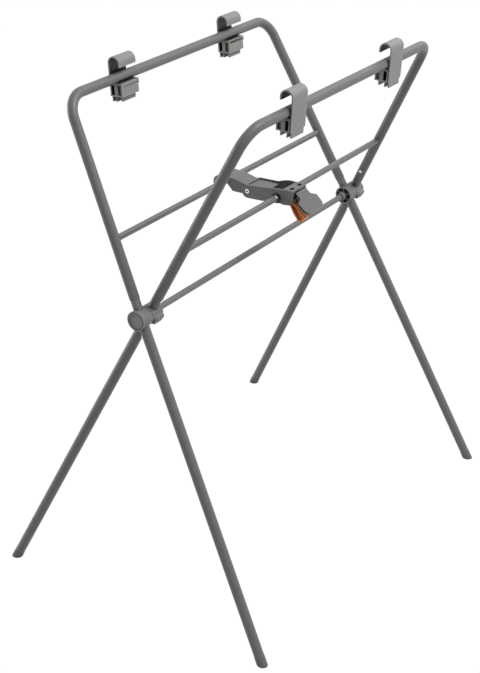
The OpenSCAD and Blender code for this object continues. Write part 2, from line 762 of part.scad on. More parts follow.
// In the grip's own frame X runs down the grip and Z is square to its upper face
module at_grip() at_brace() translate([end_x + 1.6, 0, plate_top - 2.7])
    rotate([0, grip_slope, 0]) children();

flare_from = 0.31;
flare_to = 0.46;
function paddle(inset) = let (
    root = grip_root_w / 2 - inset,
    tip = grip_tip_w / 2 - inset,
    r = grip_corner - inset,
    end = grip_len - inset)
    concat(
        [[0, -root], [grip_len * flare_from, -root - 1], [grip_len * flare_to, -tip]],
        [for (a = [-90:15:0]) [end - r + r * cos(a), -tip + r + r * sin(a)]],
        [for (a = [0:15:90]) [end - r + r * cos(a), tip - r + r * sin(a)]],
        [[grip_len * flare_to, tip], [grip_len * flare_from, root + 1], [0, root]]);

core_in = 6;
neck_half = grip_root_w / 2 - 5;
lower_from = 7;
screw_x = grip_len * 0.68;
screw_y = grip_tip_w * 0.27;
grip_screw_d = 2.5;
lower_top = -grip_t - groove;

module at_grip_screws() at_grip()
    for (y = [-screw_y, screw_y]) translate([screw_x, y, lower_top - lower_t]) children();

// The neck between the grip and the end wall
seam = 3.2;
seam_depth = 9;
NECK = [[end_x - bite, 1], [end_x - bite, plate_top - seam_depth + 0.6],
    [end_x + 4.5, plate_top - seam_depth + 0.6], [end_x + 9, 5], [end_x + 6, 0]];

module grip_upper() color("#86867f") difference() {
    union() {
        at_grip() {
            translate([0, 0, -grip_t]) linear_extrude(grip_t) polygon(paddle(0));
            translate([0, 0, lower_top]) linear_extrude(groove + bite) polygon(paddle(core_in));
        }
        at_brace() slab(NECK, -neck_half, neck_half);
    }
    at_brace() {
        translate([end_x - 0.4 - far_out, -far_out / 2, -far_out / 2]) cube(far_out);
        translate([end_x - bite, -far_out / 2, plate_top - seam_depth])
            cube([bite + seam - 0.4, far_out, far_out]);
    }
    at_grip_screws() cylinder(d = grip_screw_d + 2 * fit, h = lower_t + groove);
}

module grip_lower() color("#9a9a94") difference() {
    at_grip() translate([0, 0, lower_top - lower_t]) difference() {
        linear_extrude(lower_t - fit) polygon(paddle(0.6));
        translate([-bite, -far_out / 2, -bite])
            cube([lower_from + bite, far_out, lower_t + 2 * bite]);
    }
    at_brace() translate([slip, 0, 0]) slab(NECK, -neck_half - slip, neck_half + slip);
    at_grip_screws() translate([0, 0, -bite])
        cylinder(d = grip_screw_d + 2 * fit, h = lower_t + 2 * bite);
}

grip_screw_head = 1.2;
module grip_screws() color("#9a9a98") at_grip_screws() {
    translate([0, 0, -bite]) cylinder(d = grip_screw_d, h = bite + lower_t + groove - fit);
    translate([0, 0, -grip_screw_head]) cylinder(d = 2 * grip_screw_d, h = grip_screw_head - fit);
}

barrel_d = trigger_pin_d + 5;
// The trigger's side outline below the housing, from its pin
BLADE = [[-4.5, 0], [4.5, 0], [4, -12], [10, -19], [24, -38], [24.5, -42], [21.5, -48],
    [17, -51.5], [11, -49], [4.5, -38], [-1, -24], [-4.5, -14]];
POCKET = [[2, -17], [8.5, -22], [21.5, -40], [17.5, -47.5], [12, -45.5], [6, -35], [1.5, -23]];
// Seen along the brace, the blade narrows towards its tip
narrow_from = -16;
narrow_to = -50;

module trigger() color("#d2691e") at_brace() translate([trigger_x, 0, trigger_rise])
    difference() {
        union() {
            along_y(-trigger_w / 2, trigger_w / 2, barrel_d);
            difference() {
                intersection() {
                    slab(BLADE, -trigger_w / 2, trigger_w / 2);
                    rotate([90, 0, 90]) translate([0, 0, -far_out / 2]) linear_extrude(far_out)
                        polygon([[-trigger_w / 2, far_out], [-trigger_w / 2, narrow_from],
                            [-trigger_tip_w / 2, narrow_to], [-trigger_tip_w / 2, -far_out],
                            [trigger_tip_w / 2, -far_out], [trigger_tip_w / 2, narrow_to],
                            [trigger_w / 2, narrow_from], [trigger_w / 2, far_out]]);
                }
                // room for the pawl and its guides
                translate([-10, -guide - brace_t - slip, -trigger_rise - pawl_h / 2 - brace_t - 2])
                    cube([20, 2 * (guide + brace_t + slip), far_out]);
            }
            translate([-finger / 2, -finger / 2, -trigger_rise - pawl_h / 2 - slip])
                cube([finger, finger, trigger_rise + pawl_h / 2]);
        }
        along_y(-trigger_w, trigger_w, trigger_pin_d + 2 * fit);
        slab(POCKET, trigger_t, trigger_w);
        slab(POCKET, -trigger_w, -trigger_t);
        // room under the openings of the housing's plate
        for (slot = SLOTS) translate([-barrel_d, slot[0] - slip, -barrel_d])
            cube([2 * barrel_d, slot[1] + 2 * slip, far_out]);
    }

module trigger_pin() color("#c7c7c4") at_brace() translate([trigger_x, 0, trigger_rise])
    along_y(-half_w + 1.2, half_w - 1.2, trigger_pin_d);

module trigger_spring() color("#a9a9a6") at_brace() translate([trigger_x, 0, trigger_rise])
    difference() {
        along_y(-half_w + brace_t + slip, -trigger_w / 2 - slip, trigger_pin_d + 3);
        along_y(-half_w, half_w, trigger_pin_d + 2 * fit);
    }

upper_tube_a();
upper_tube_b();
lower_tube_a_near();
lower_tube_a_far();
lower_tube_b_near();
lower_tube_b_far();
crossbar_a();
crossbar_b();
hub_bar();
hub_half_a_near();
hub_half_a_far();
hub_half_b_near();
hub_half_b_far();
hub_washers();
pivot_bolts();
hub_cap_near();
hub_cap_far();
tube_rivets_a();
tube_rivets_b();
foot_a_near();
foot_a_far();
foot_b_near();
foot_b_far();
clip_hook_a_near();
clip_hook_a_far();
clip_hook_b_near();
clip_hook_b_far();
clip_cradle_a_near();
clip_cradle_a_far();
clip_cradle_b_near();
clip_cradle_b_far();
clip_screws_a();
clip_screws_b();
brace_arm();
knee_rivet();
brace_channel();
crossbar_bushes();
bar_rivets();
lock_collar();
lock_pawl();
grip_upper();
grip_lower();
grip_screws();
trigger();
trigger_pin();
trigger_spring();
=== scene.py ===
"""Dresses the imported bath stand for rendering: tubes, hubs, clips, brace, grip and studio."""

import json
import math

import bmesh
import bpy
from mathutils import Matrix, Vector


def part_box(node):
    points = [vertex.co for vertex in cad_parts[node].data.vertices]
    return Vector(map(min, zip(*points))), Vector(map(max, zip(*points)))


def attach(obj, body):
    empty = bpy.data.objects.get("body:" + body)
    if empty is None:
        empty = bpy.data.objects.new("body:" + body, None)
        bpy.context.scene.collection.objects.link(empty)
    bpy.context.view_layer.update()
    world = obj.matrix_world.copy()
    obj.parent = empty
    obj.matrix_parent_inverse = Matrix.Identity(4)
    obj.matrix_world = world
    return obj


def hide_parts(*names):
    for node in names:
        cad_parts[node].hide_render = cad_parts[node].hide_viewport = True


bl_info = {
    "name": "Folding Bath Stand",
    "version": (1, 0, 0),
    "blender": (4, 5, 0),
    "location": "View3D > Sidebar > Bath Stand",
    "description": "Builds a folding tube stand for a baby bath, piece by piece",
    "category": "Add Mesh",
}

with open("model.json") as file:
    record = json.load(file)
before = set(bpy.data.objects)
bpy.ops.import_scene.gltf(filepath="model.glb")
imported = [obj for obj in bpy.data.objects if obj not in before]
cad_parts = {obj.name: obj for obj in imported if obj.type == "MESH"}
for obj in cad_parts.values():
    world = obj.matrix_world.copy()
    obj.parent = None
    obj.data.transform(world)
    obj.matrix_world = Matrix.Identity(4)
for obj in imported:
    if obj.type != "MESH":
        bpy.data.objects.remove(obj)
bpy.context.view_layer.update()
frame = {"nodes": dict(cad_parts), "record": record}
NODES = frame["nodes"]
JOINTS = {j["name"]: j for j in frame["record"]["behaviour"]["joints"]}
MM = 0.001
NEAR, FAR = -1, 1
# The middle of the folding axis, halfway between the two hubs
PIVOT = Vector(JOINTS["fold"]["pos_m"])


# ---------------------------------------------------------------- helpers

def linear(hex_colour):
    """An sRGB hex value as the linear colour that Blender works in."""
    channels = [int(hex_colour[i:i + 2], 16) / 255 for i in (1, 3, 5)]
    return tuple(c / 12.92 if c <= 0.04045 else ((c + 0.055) / 1.055) ** 2.4 for c in channels)


def add_node(tree, kind, settings=None, **inputs):
    """Adds one node. Settings are its own properties; inputs are values or sockets to link.

    An input is named as the node names it, with _ for each space, or i0, i1 by its place.
    """
    made = tree.nodes.new(kind)
    for key, value in (settings or {}).items():
        setattr(made, key, value)
    for key, value in inputs.items():
        wanted = key.replace("_", " ").lower()
        socket = next((s for s in made.inputs if s.enabled and s.name.lower() == wanted), None)
        if socket is None:
            socket = made.inputs[int(key[1:])]
        if isinstance(value, bpy.types.NodeSocket):
            tree.links.new(value, socket)
        else:
            socket.default_value = value
    return made


def calc(tree, operation, *values):
    """One step of arithmetic in a tree, on values or sockets."""
    inputs = {"i%d" % place: value for place, value in enumerate(values)}
    return add_node(tree, "ShaderNodeMath", {"operation": operation}, **inputs).outputs[0]


def remapped(tree, value, low, high, to_low, to_high):
    """A value run through a Map Range node, held between its two ends."""
    return add_node(tree, "ShaderNodeMapRange", Value=value, From_Min=low, From_Max=high,
                    To_Min=to_low, To_Max=to_high).outputs[0]


def body_of(cad_name):
    """The moving body that a CAD node belongs to."""
    for body, members in frame["record"]["behaviour"]["bodies"].items():
        if cad_name in members:
            return body
    raise RuntimeError("no body holds " + cad_name)


def box_of(cad_name):
    """The low and the high corner of a CAD node's box."""
    low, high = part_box(cad_name)
    return Vector(low), Vector(high)


def finish_mesh(name, mesh, material, body, replaces=(), smooth=None):
    """Makes the finished piece: riding on its CAD body and standing for its CAD nodes.

    Smooth is the angle in degrees past which an edge stays sharp.
    """
    mesh.name = name
    if smooth:
        mesh.shade_smooth()
        mesh.set_sharp_from_angle(angle=math.radians(smooth))
    piece = bpy.data.objects.new(name, mesh)
    bpy.context.scene.collection.objects.link(piece)
    mesh.materials.clear()
    mesh.materials.append(material)
    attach(piece, body)
    if replaces:
        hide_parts(*replaces)
    return piece


def through_modifiers(mesh, *stack):
    """Runs a mesh through modifiers, each given as (type, settings), and returns the result.

    For a NODES modifier the settings hold the tree and the values of its named inputs.
    """
    blank = bpy.data.objects.new("blank", mesh)
    bpy.context.scene.collection.objects.link(blank)
    for kind, settings in stack:
        modifier = blank.modifiers.new(kind.lower(), kind)
        if kind == "NODES":
            tree, values = settings
            modifier.node_group = tree
            for item in tree.interface.items_tree:
                if item.item_type == "SOCKET" and item.in_out == "INPUT" and item.name in values:
                    modifier[item.identifier] = values[item.name]
        else:
            for key, value in settings.items():
                setattr(modifier, key, value)
    graph = bpy.context.evaluated_depsgraph_get()
    result = bpy.data.meshes.new_from_object(blank.evaluated_get(graph), depsgraph=graph)
    bpy.data.objects.remove(blank)
    return result


def edges_mesh(points, closed=False):
    """A mesh of loose edges along a line of points, for a tree to follow."""
    mesh = bpy.data.meshes.new("line")
    links = [(i, i + 1) for i in range(len(points) - 1)]
    if closed:
        links.append((len(points) - 1, 0))
    mesh.from_pydata([tuple(p) for p in points], links, [])
    return mesh


def turn_faces_out(mesh):
    """Turns all the faces of a mesh outwards."""
    work = bmesh.new()
    work.from_mesh(mesh)
    bmesh.ops.recalc_face_normals(work, faces=work.faces)
    work.to_mesh(mesh)
    work.free()


# Points of a CAD mesh nearer than this are one point; shorter edges than the next are none
SAME_POINT = 2e-6
NO_LENGTH = 1e-6
# Faces that lean less than this against each other are one flat face
FLAT = math.radians(0.5)


def merged_copy(cad_name):
    """A CAD node's mesh with its loose triangles joined and its flat faces made whole."""
    mesh = NODES[cad_name].data.copy()
    work = bmesh.new()
    work.from_mesh(mesh)
    bmesh.ops.remove_doubles(work, verts=work.verts, dist=SAME_POINT)
    bmesh.ops.dissolve_degenerate(work, dist=NO_LENGTH, edges=work.edges)
    bmesh.ops.recalc_face_normals(work, faces=work.faces)
    bmesh.ops.dissolve_limit(work, angle_limit=FLAT, verts=work.verts, edges=work.edges,
                             delimit={"NORMAL"})
    work.to_mesh(mesh)
    work.free()
    mesh.shade_smooth()
    return mesh


def softened(cad_name, name, material, edge_mm, angle=32):
    """A CAD node with its edges rounded, which stands for it.

    Only edges whose faces meet at more than angle, in degrees, are rounded or stay sharp.
    """
    stack = []
    if edge_mm:
        stack.append(("BEVEL", {"width": edge_mm * MM, "segments": 2, "limit_method": "ANGLE",
                                "angle_limit": math.radians(angle), "miter_outer": "MITER_ARC",
                                "use_clamp_overlap": True}))
        stack.append(("WEIGHTED_NORMAL", {"keep_sharp": True, "weight": 80}))
    mesh = through_modifiers(merged_copy(cad_name), *stack)
    return finish_mesh(name, mesh, material, body_of(cad_name), [cad_name],
                       smooth=None if edge_mm else angle)


# ---------------------------------------------------------------- properties

def length(name, description, default_mm, low_mm, high_mm):
    """A size in the panel, given in millimetres."""
    return bpy.props.FloatProperty(name=name, description=description, default=default_mm * MM,
                                   min=low_mm * MM, max=high_mm * MM, unit="LENGTH", precision=4)


def slope(name, description, default_deg, low_deg, high_deg):
    """An angle in the panel, given in degrees."""
    return bpy.props.FloatProperty(name=name, description=description, subtype="ANGLE",
                                   default=math.radians(default_deg), min=math.radians(low_deg),
                                   max=math.radians(high_deg))


def colour(name, description, default_hex):
    """A colour in the panel, given as an sRGB hex value."""
    return bpy.props.FloatVectorProperty(name=name, description=description, min=0, max=1,
                                         default=linear(default_hex), subtype="COLOR")


class BATHSTAND_PG_sizes(bpy.types.PropertyGroup):
    """Sizes of the dressed pieces."""

    bar_height: length("Top bar height", "Height of the top bars' centrelines", 874, 840, 900)
    bar_spread: length("Top bar spread", "Middle of the stand to each top bar", 166, 155, 180)
    hub_half: length("Hub spread", "Middle of the stand to each hub", 336, 320, 360)
    layer_gap: length("Layer gap", "Gap between the two layers of leg tube", 5.2, 4.6, 8)
    splay_outer: slope("Outer slope", "Slope of the upper legs in the outer layer", 6.4, 5, 8)
    splay_inner: slope("Inner slope", "Slope of the upper legs in the inner layer", 6, 5, 8)
    splay_a: slope("Slope A", "Outward slope of frame A's lower legs", 5.45, 4, 7)
    splay_b: slope("Slope B", "Outward slope of frame B's lower legs", 6.35, 5, 8)
    tube_diameter: length("Leg tube", "Outside diameter of the leg tube", 17.4, 16, 18)
    tube_wall: length("Tube wall", "Wall of the leg tube", 1.2, 1, 1.8)
    bar_diameter: length("Crossbar", "Outside diameter of the crossbars", 11, 10, 12)
    bend_radius: length("Corner bend", "Centreline radius of the top corners", 40, 30, 60)
    crossbar_up: length("Crossbar place", "Folding axis to each crossbar", 133, 125, 145)
    neck_end: length("Tube A's start", "Folding axis to the end of tube A", 33, 28, 40)
    socket_floor: length("Socket floor", "Folding axis to a tube's end in its hub", 9.5, 8, 12)
    foot_length: length("Foot length", "Floor to the end of a lower tube", 16, 13, 20)
    weld_bead: length("Weld bead", "Thickness of the bead at a crossbar's end", 2.6, 1, 4)
    edge_radius: length("Moulded edge", "Radius on the edges of moulded parts", 0.7, 0.2, 1.5)


class BATHSTAND_PG_finishes(bpy.types.PropertyGroup):
    """Colours of the finishes."""

    tube_colour: colour("Leg tube", "Powder coat of the leg tubes", "#7a7a79")
    # The bars' colour is the tubes' coat drawn lighter: painted light
    bar_lit_colour: colour("Crossbars", "Powder coat of the crossbars and the hub bar", "#828281")
    hub_colour: colour("Hubs", "Moulded hubs", "#8a8a89")
    hook_colour: colour("Hook bands", "Moulded hook bands", "#9b9b99")
    cradle_colour: colour("Cradles", "Moulded cradles under the bars", "#a0a09d")
    brace_colour: colour("Brace", "Moulded arm and channel of the brace", "#828280")
    grip_colour: colour("Grip", "Moulded upper shell of the grip", "#6e6e6d")
    # The lip is drawn paler than the grip: a painted highlight along its thin edge
    lip_lit_colour: colour("Grip lip", "Moulded lower shell of the grip", "#b6b6b3")
    foot_colour: colour("Feet", "Rubber feet", "#787877")
    trigger_colour: colour("Trigger", "Moulded trigger", "#f28c3c")


# ---------------------------------------------------------------- materials

def new_material(name):
    """An empty node material and its tree."""
    material = bpy.data.materials.new(name)
    material.use_nodes = True
    material.node_tree.nodes.clear()
    return material, material.node_tree


# The mottle of a skin is finer than a pixel, so it is drawn at this size to show
MOTTLE_MM = 2.6
# How far an edge's painted highlight reaches in from the edge
HIGHLIGHT_MM = 1.1
# Share of a finish's relief height that its bump shows
RELIEF_SHARE = 0.6
# Rays that judge how open a place is
OPEN_RAYS = 8
# Openness of a place: where the painted shade in recesses is fullest and gone,
# and where the painted highlight on edges is fullest and gone
SHADE_ENDS, HIGHLIGHT_ENDS = (0.42, 0.9), (0.5, 0.95)
# The part of a noise's range that is used, for the mottle and for the relief
MOTTLE_ENDS, RELIEF_ENDS = (0.35, 0.65), (0.3, 0.7)
# The roughness stays between these, whatever its spread
LEAST_ROUGH, MOST_ROUGH = 0.02, 1


def noise(tree, place, size_mm, detail, roughness):
    """Noise whose marks are about size_mm across."""
    return add_node(tree, "ShaderNodeTexNoise", Vector=place, Scale=1000 / size_mm,
                    Detail=detail, Roughness=roughness).outputs["Fac"]


def openness(tree, reach_mm, inside=False):
    """How open a place is within reach: 1 in the open, less in a recess.

    Looking inside the piece instead, it is less near an edge.
    """
    settings = {"samples": OPEN_RAYS, "inside": inside}
    return add_node(tree, "ShaderNodeAmbientOcclusion", settings,
                    Distance=reach_mm * MM).outputs["AO"]


def grained(name, base, rough, grain_mm, height_mm, blotch_mm=60, blotch=0.06, spread=0.08,
            recess_mm=34, recess_shade=0.94, edge_highlight=0.8, fleck=0.09, **shader):
    """A coated or moulded surface: fine relief at grain_mm, faint shade at blotch_mm.

    The relief also varies the roughness, so that the gloss breaks up as it does on the part.
    Recesses are painted darker, as painted shade, and edges are painted lighter, as a
    painted highlight; fleck is how far the mottle goes either way.
    """
    material, tree = new_material(name)
    place = add_node(tree, "ShaderNodeTexCoord").outputs["Object"]
    relief = noise(tree, place, grain_mm, detail=2.0, roughness=0.55)
    shade = noise(tree, place, blotch_mm, detail=4.0, roughness=0.6)
    mottle = noise(tree, place, MOTTLE_MM, detail=3.0, roughness=0.7)
    tint = add_node(tree, "ShaderNodeMix", {"data_type": "RGBA"}, Factor=shade)
    dark, light = tint.inputs[6], tint.inputs[7]
    dark.default_value = tuple(c * (1 - blotch) for c in base) + (1,)
    light.default_value = tuple(min(1, c * (1 + blotch)) for c in base) + (1,)
    # Painted shade: the colour is darkened where a place is closed in, in recesses and between
    # parts
    painted_shade = remapped(tree, openness(tree, recess_mm), *SHADE_ENDS, 1 - recess_shade, 1.0)
    # Painted highlight: the colour is lightened near convex edges
    painted_highlight = remapped(tree, openness(tree, HIGHLIGHT_MM, inside=True), *HIGHLIGHT_ENDS, 1 + edge_highlight, 1.0)
    mottled = remapped(tree, mottle, *MOTTLE_ENDS, 1 - fleck, 1 + fleck)
    level = calc(tree, "MULTIPLY", calc(tree, "MULTIPLY", painted_shade, painted_highlight), mottled)
    toned = add_node(tree, "ShaderNodeVectorMath", {"operation": "SCALE"}, i0=tint.outputs[2],
                     Scale=level)
    gloss = remapped(tree, relief, *RELIEF_ENDS, max(LEAST_ROUGH, rough - spread),
                     min(MOST_ROUGH, rough + spread))
    bump = add_node(tree, "ShaderNodeBump", Height=relief, Strength=RELIEF_SHARE,
                    Distance=height_mm * MM)
    surface = add_node(tree, "ShaderNodeBsdfPrincipled", Base_Color=toned.outputs[0],
                       Roughness=gloss, Normal=bump.outputs[0], **shader)
    add_node(tree, "ShaderNodeOutputMaterial", Surface=surface.outputs[0])
    return material


MATERIALS = {}


def make_materials(colours):
    """Fills MATERIALS with one material for each finish."""
    # Powder-coated steel tube: sprayed and baked, so it has a satin sheen over a soft
    # orange peel. The relief is drawn a little coarse, so that it shows.
    MATERIALS["tube"] = grained(
        "powder_coated_steel", colours.tube_colour, rough=0.42, grain_mm=1.6, height_mm=0.08,
        blotch_mm=90, blotch=0.05, recess_mm=16, edge_highlight=0, IOR=1.5)
    # The same coat on the thin tubes, drawn a shade lighter, as the photograph shows them:
    # a lighter copy of one coat, painted light
    MATERIALS["bar"] = grained(
        "powder_coated_bar", colours.bar_lit_colour, rough=0.44, grain_mm=1.6, height_mm=0.08,
        blotch_mm=70, blotch=0.05, recess_mm=12, edge_highlight=0, IOR=1.5)
    # The same coat over a rippled weld bead, duller and more blotched where it pooled
    MATERIALS["weld"] = grained(
        "coated_weld", colours.tube_colour, rough=0.5, grain_mm=0.9, height_mm=0.12,
        blotch_mm=12, blotch=0.1, recess_mm=12, edge_highlight=0, IOR=1.5)
    # Nylon with glass, moulded in a spark-eroded tool: a dull skin with an even grain
    MATERIALS["hub"] = grained(
        "moulded_nylon_hub", colours.hub_colour, rough=0.55, grain_mm=1.1, height_mm=0.09,
        blotch_mm=25, IOR=1.53)
    MATERIALS["hook"] = grained(
        "moulded_nylon_hook", colours.hook_colour, rough=0.46, grain_mm=1.1, height_mm=0.08,
        blotch_mm=30, recess_mm=60, IOR=1.53)
    MATERIALS["cradle"] = grained(
        "moulded_nylon_cradle", colours.cradle_colour, rough=0.55, grain_mm=0.8,
        height_mm=0.04, blotch_mm=30, IOR=1.53)
    MATERIALS["brace"] = grained(
        "moulded_nylon_brace", colours.brace_colour, rough=0.5, grain_mm=1.1, height_mm=0.08,
        blotch_mm=30, recess_mm=50, IOR=1.53)
    MATERIALS["grip"] = grained(
        "moulded_nylon_grip", colours.grip_colour, rough=0.48, grain_mm=1.1, height_mm=0.08,
        blotch_mm=30, IOR=1.53)
    # The lower shell, drawn paler than the upper shell: a painted highlight along its thin edge
    MATERIALS["lip"] = grained(
        "moulded_nylon_lip", colours.lip_lit_colour, rough=0.45, grain_mm=0.8, height_mm=0.03,
        blotch_mm=30, IOR=1.53)
    # ABS, moulded and left bright: a smoother skin with a clear sheen
    MATERIALS["trigger"] = grained(
        "moulded_abs_trigger", colours.trigger_colour, rough=0.34, grain_mm=0.7,
        height_mm=0.02, blotch_mm=14, blotch=0.08, recess_mm=9, recess_shade=0.5, edge_highlight=0.4,
        fleck=0.05, IOR=1.54)
    # Thermoplastic rubber, moulded: dull, with a blotched skin where it stands
    MATERIALS["foot"] = grained(
        "moulded_rubber", colours.foot_colour, rough=0.72, grain_mm=1.1, height_mm=0.05,
        blotch_mm=9, blotch=0.12, recess_mm=6, IOR=1.52)
    # Acetal, turned: black and slippery, with a soft gloss
    MATERIALS["bush"] = grained(
        "turned_acetal", linear("#1c1c1c"), rough=0.4, grain_mm=0.6, height_mm=0.02,
        blotch_mm=10, IOR=1.48)
    # Zinc-plated steel, cold headed: bright, with a fine unevenness in the plating
    MATERIALS["zinc"] = grained(
        "zinc_plated_steel", linear("#dededd"), rough=0.3, grain_mm=0.5, height_mm=0.015,
        blotch_mm=4, blotch=0.08, spread=0.1, Metallic=1.0)
    # Steel pin, blackened in a hot oxide bath and oiled: dark, with a low sheen
    MATERIALS["black_pin"] = grained(
        "black_oxide_steel", linear("#2a2a2b"), rough=0.38, grain_mm=0.4, height_mm=0.01,
        blotch_mm=4, Metallic=1.0)
    # Steel rivets under the tube's own powder coat: a little glossier on the round head
    MATERIALS["coated_rivet"] = grained(
        "powder_coated_rivet", linear("#8c8c8b"), rough=0.4, grain_mm=0.7, height_mm=0.03,
        blotch_mm=5, blotch=0.08, IOR=1.5)
    # Spring steel wire, drawn: grey, with a fine mottle
    MATERIALS["spring"] = grained(
        "drawn_spring_wire", linear("#9c9c98"), rough=0.35, grain_mm=0.4, height_mm=0.02,
        blotch_mm=3, blotch=0.1, Metallic=1.0)


# ---------------------------------------------------------------- geometry trees

TREES = {}
# Straight steps in a bend, and sides of a swept tube and of a weld bead
BEND_STEPS, TUBE_SIDES, BEAD_SIDES = 20, 48, 10
# Angle in degrees past which an edge of a tube, a turned head or a weld bead stays sharp
TUBE_SHARP, TURNED_SHARP, WELD_SHARP = 35, 40, 60
# Share by which a weld bead's ripples swell it, points round its seam, points in a ripple
RIPPLE_SWELL, SEAM_POINTS, RIPPLE_POINTS = 0.14, 72, 6


def new_tree(name, inputs):
    """An empty tree with its named inputs, its Geometry in and out, and a Material input."""
    tree = bpy.data.node_groups.new(name, "GeometryNodeTree")
    tree.interface.new_socket("Geometry", in_out="INPUT", socket_type="NodeSocketGeometry")
    for label, kind in inputs + [("Material", "NodeSocketMaterial")]:
        tree.interface.new_socket(label, in_out="INPUT", socket_type=kind)
    tree.interface.new_socket("Geometry", in_out="OUTPUT", socket_type="NodeSocketGeometry")
    TREES[name] = tree
    return tree, add_node(tree, "NodeGroupInput").outputs


def close_tree(tree, geometry, given):
    """Ends a tree: makes its geometry real, gives it the material and puts it out."""
    real = add_node(tree, "GeometryNodeRealizeInstances", Geometry=geometry)
    painted = add_node(tree, "GeometryNodeSetMaterial", Geometry=real.outputs[0],
                       Material=given["Material"])
    add_node(tree, "NodeGroupOutput", i0=painted.outputs[0])


def make_bent_tube_tree():
    """Follows a line of points, rounds its corners to the bend radius and sweeps a round."""
    tree, given = new_tree("bent_tube", [("Radius", "NodeSocketFloat"),
                                         ("Bend Radius", "NodeSocketFloat")])
    line = add_node(tree, "GeometryNodeMeshToCurve", Mesh=given["Geometry"])
    bent = add_node(tree, "GeometryNodeFilletCurve", {"mode": "POLY"}, Curve=line.outputs[0],
                    Count=BEND_STEPS, Radius=given["Bend Radius"], Limit_Radius=False)
    ring = add_node(tree, "GeometryNodeCurvePrimitiveCircle", Resolution=TUBE_SIDES,
                    Radius=given["Radius"])
    swept = add_node(tree, "GeometryNodeCurveToMesh", Curve=bent.outputs[0],
                     Profile_Curve=ring.outputs[0])
    close_tree(tree, swept.outputs[0], given)


def make_weld_tree():
    """Sweeps a bead round a closed seam, with the ripples that the welder left in it."""
    tree, given = new_tree("weld_bead", [("Radius", "NodeSocketFloat"),
                                         ("Phase Step", "NodeSocketFloat")])
    line = add_node(tree, "GeometryNodeMeshToCurve", Mesh=given["Geometry"])
    step = add_node(tree, "GeometryNodeInputIndex").outputs[0]
    wave = calc(tree, "SINE", calc(tree, "MULTIPLY", step, given["Phase Step"]))
    swell = calc(tree, "MULTIPLY_ADD", wave, RIPPLE_SWELL, 1.0)
    ring = add_node(tree, "GeometryNodeCurvePrimitiveCircle", Resolution=BEAD_SIDES,
                    Radius=given["Radius"])
    swept = add_node(tree, "GeometryNodeCurveToMesh", Curve=line.outputs[0],
                     Profile_Curve=ring.outputs[0], Scale=swell)
    close_tree(tree, swept.outputs[0], given)


def make_fastener_tree():
    """Sets a copy of the head on each point, its Z along the point's own aim."""
    tree, given = new_tree("fasteners", [("Head", "NodeSocketObject")])
    aim = add_node(tree, "GeometryNodeInputNamedAttribute", {"data_type": "FLOAT_VECTOR"},
                   Name="aim")
    turn = add_node(tree, "FunctionNodeAlignRotationToVector", {"axis": "Z"},
                    Vector=aim.outputs[0])
    head = add_node(tree, "GeometryNodeObjectInfo", Object=given["Head"])
    set_on = add_node(tree, "GeometryNodeInstanceOnPoints", Points=given["Geometry"],
                      Instance=head.outputs["Geometry"], Rotation=turn.outputs[0])
    close_tree(tree, set_on.outputs[0], given)


# ---------------------------------------------------------------- where things are

def frame_place(name, sizes):
    """A frame's own plane: its Z runs up the legs, its Y along the folding axis."""
    side = -1 if name == "a" else 1
    lean = math.atan2(sizes.bar_spread, sizes.bar_height - PIVOT.z)
    layer = (sizes.tube_diameter + sizes.layer_gap) / 2
    return (Matrix.Translation(PIVOT + Vector((0, side * layer, 0)))
            @ Matrix.Rotation(side * lean, 4, "Y"))


def upper_slope(name, side, sizes):
    """The slope of a frame's upper leg: at each hub one frame lies in the outer layer."""
    return sizes.splay_outer if (name == "a") == (side == NEAR) else sizes.splay_inner


def leg_place(name, side, up, sizes):
    """Runs Z up an upper or a lower leg from where it crosses the folding axis."""
    turn = upper_slope(name, side, sizes) if up else getattr(sizes, "splay_" + name)
    return (frame_place(name, sizes) @ Matrix.Translation((0, side * sizes.hub_half, 0))
            @ Matrix.Rotation(side * turn, 4, "X"))


def tube_along(name, points, radius, wall, bend, material, replaces):
    """A tube swept along a line, with its wall, its ends open as cut."""
    mesh = through_modifiers(
        edges_mesh(points),
        ("NODES", (TREES["bent_tube"],
                   {"Radius": radius, "Bend Radius": bend, "Material": material})),
        ("SOLIDIFY", {"thickness": wall, "offset": -1, "use_even_offset": True}))
    turn_faces_out(mesh)
    return finish_mesh(name, mesh, material, body_of(replaces), [replaces],
                       smooth=TUBE_SHARP)


# Steps in a full turn of a turned piece
TURNED_STEPS = 28


def lathe(name, profile, material):
    """A turned piece round Z, from (radius, height) points in millimetres, low end first."""
    work = bmesh.new()
    points = [work.verts.new((r * MM, 0, z * MM)) for r, z in profile]
    edges = [work.edges.new(pair) for pair in zip(points, points[1:])]
    bmesh.ops.spin(work, geom=points + edges, cent=(0, 0, 0), axis=(0, 0, 1),
                   angle=math.tau, steps=TURNED_STEPS)
    bmesh.ops.remove_doubles(work, verts=work.verts, dist=NO_LENGTH)
    bmesh.ops.dissolve_degenerate(work, dist=NO_LENGTH / 10, edges=work.edges)
    bmesh.ops.recalc_face_normals(work, faces=work.faces)
    mesh = bpy.data.meshes.new(name)
    work.to_mesh(mesh)
    work.free()
    mesh.shade_smooth()
    mesh.set_sharp_from_angle(angle=math.radians(TURNED_SHARP))
    mesh.materials.append(material)
    return bpy.data.objects.new(name, mesh)


def rivet_head(radius, height, shank, depth):
    """Profile of a rivet: shank from depth below the seat, flange, groove and dome."""
    dome = radius * 0.6
    arc = [(dome * math.cos(math.radians(rise)), height * math.sin(math.radians(rise)))
           for rise in (0, 18, 36, 54, 72)]
    return [(0, -depth), (shank, -depth), (shank, 0), (radius, 0), (radius, height * 0.3),
            (radius * 0.9, height * 0.42), (radius * 0.8, height * 0.2), (dome, -0.1)] + arc + [
                (0, height)]


